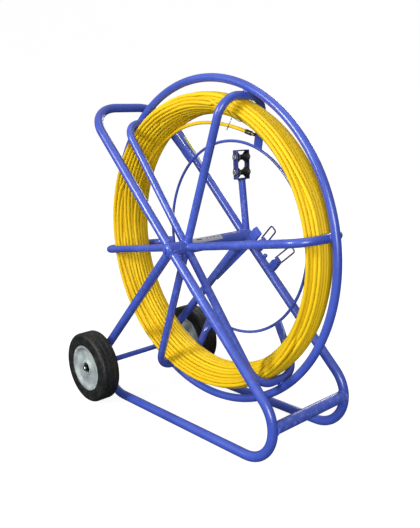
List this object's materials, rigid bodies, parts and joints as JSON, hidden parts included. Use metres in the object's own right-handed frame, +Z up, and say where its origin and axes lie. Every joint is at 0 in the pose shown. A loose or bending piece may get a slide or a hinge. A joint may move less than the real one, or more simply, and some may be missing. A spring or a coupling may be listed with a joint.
{
  "type": "wheeled duct rodder",
  "caption": "Yellow fibreglass cable rod coiled in a round blue tube cage that spins on a wheeled triangular tube frame with a push handle and roller guide.",
  "frame": {"origin": "on the floor, straight below the middle of the reel's axle", "axes": "+X to the front, where the floor tubes' front bends are; +Y along the reel's axle to the side with the rod guide; +Z up"},
  "size_m": [0.876, 0.45, 0.925],
  "materials": {
    "frame_paint": "gloss powder coat, cornflower blue",
    "guide_paint": "semi-gloss paint, darker blue",
    "rod_yellow": "smooth extruded sheath, golden yellow",
    "tyre_rubber": "matte solid rubber",
    "rim_grey": "satin moulded plastic, light grey",
    "zinc": "bright zinc plating",
    "black_nylon": "satin black nylon"
  },
  "bodies": {
    "frame": {"side_loop_near": "frame_paint", "side_loop_far": "frame_paint", "axle_collar_near": "frame_paint", "axle_collar_far": "frame_paint", "axle_screw_near": "frame_paint", "axle_screw_far": "frame_paint", "reel_axle": "frame_paint", "handle_bow": "frame_paint", "front_crossbar": "frame_paint", "strut_gusset": "frame_paint", "wheel_axle": "frame_paint", "wheel_spacer_near": "zinc", "wheel_spacer_far": "zinc", "wheel_nut_near": "zinc", "wheel_nut_far": "zinc", "guide_arm": "frame_paint", "guide_head": "guide_paint", "guide_bolt_upper": "zinc", "guide_bolt_lower": "zinc", "guide_nut_upper": "zinc", "guide_nut_lower": "zinc", "leg_bracket": "frame_paint", "leg_peg": "frame_paint", "latch_block_upper": "frame_paint", "latch_block_lower": "frame_paint"},
    "reel": {"hub_tube": "frame_paint", "hub_bush_near": "black_nylon", "hub_bush_far": "black_nylon", "spoke_1": "frame_paint", "spoke_2": "frame_paint", "spoke_3": "frame_paint", "spoke_4": "frame_paint", "spoke_5": "frame_paint", "spoke_6": "frame_paint", "hoop": "frame_paint", "far_ring": "frame_paint", "rod_coil": "rod_yellow", "rod_tail": "rod_yellow", "rod_tip": "zinc"},
    "wheel_near": {"tyre_near": "tyre_rubber", "wheel_rim_near": "rim_grey", "wheel_bearing_near": "black_nylon"},
    "wheel_far": {"tyre_far": "tyre_rubber", "wheel_rim_far": "rim_grey", "wheel_bearing_far": "black_nylon"},
    "roller_upper": {"guide_roller_upper": "black_nylon"},
    "roller_lower": {"guide_roller_lower": "black_nylon"},
    "bail_upper": {"latch_bail_upper": "guide_paint"},
    "bail_lower": {"latch_bail_lower": "guide_paint"}
  },
  "joints": [
    {"name": "reel_spin", "type": "hinge", "parent": "frame", "child": "reel", "pos_m": [0, 0, 0.487], "axis": [0, 1, 0], "continuous": true},
    {"name": "wheel_near_spin", "type": "hinge", "parent": "frame", "child": "wheel_near", "pos_m": [-0.33047, -0.1925, 0.104], "axis": [0, 1, 0], "continuous": true},
    {"name": "wheel_far_spin", "type": "hinge", "parent": "frame", "child": "wheel_far", "pos_m": [-0.33047, 0.1925, 0.104], "axis": [0, 1, 0], "continuous": true},
    {"name": "roller_upper_spin", "type": "hinge", "parent": "frame", "child": "roller_upper", "pos_m": [0, 0.126, 0.7075], "axis": [0, 1, 0], "continuous": true},
    {"name": "roller_lower_spin", "type": "hinge", "parent": "frame", "child": "roller_lower", "pos_m": [0, 0.126, 0.6665], "axis": [0, 1, 0], "continuous": true},
    {"name": "bail_upper_pivot", "type": "hinge", "parent": "frame", "child": "bail_upper", "pos_m": [0.07269, 0.134, 0.48049], "axis": [0.7071, 0, -0.7071], "range_deg": [-90, 90]},
    {"name": "bail_lower_pivot", "type": "hinge", "parent": "frame", "child": "bail_lower", "pos_m": [0.12219, 0.134, 0.431], "axis": [0.7071, 0, -0.7071], "range_deg": [-63, 117]}
  ]
}
